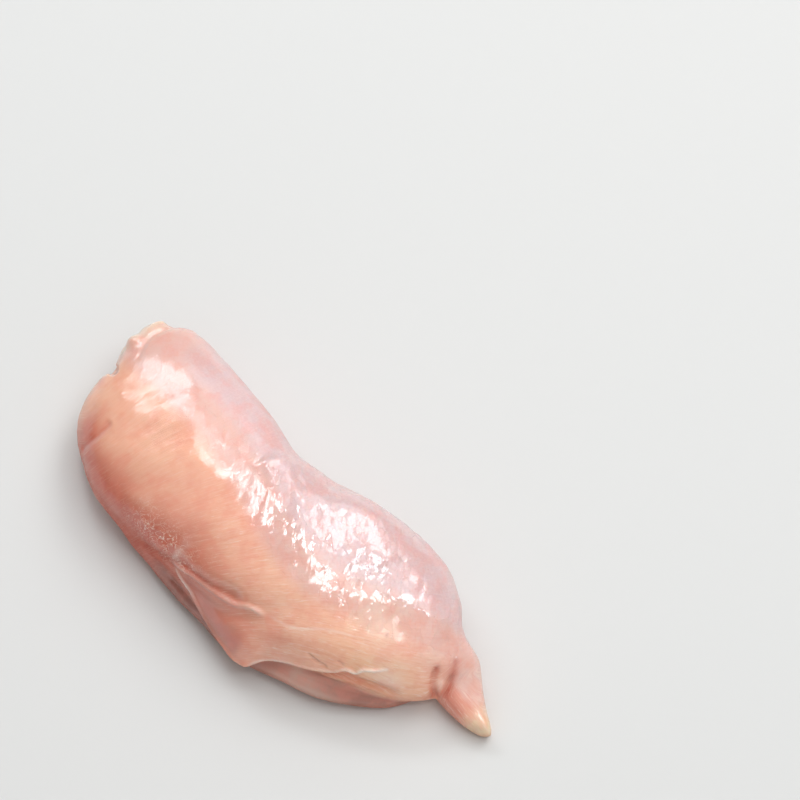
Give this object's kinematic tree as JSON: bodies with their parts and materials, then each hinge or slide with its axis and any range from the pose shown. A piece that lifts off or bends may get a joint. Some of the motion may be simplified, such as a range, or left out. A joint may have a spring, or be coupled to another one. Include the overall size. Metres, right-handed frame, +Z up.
{
  "type": "raw boneless chicken breast",
  "caption": "Plump raw poultry breast muscle lying flat, blunt at one end and drawn out to a narrow tail, with a folded membrane edge over the tenderloin.",
  "frame": {"origin": "middle of the footprint, on the surface the breast lies on", "axes": "+X from the blunt end to the tail tip, -Y towards the folded edge over the tenderloin, +Z up out of the smooth side"},
  "size_m": [0.1856, 0.0738, 0.0391],
  "materials": {
    "meat": "wet raw meat, pale pink with creamy fibres and a thin silvery membrane"
  },
  "bodies": {
    "root": {"chicken_breast": "meat"}
  },
  "joints": []
}
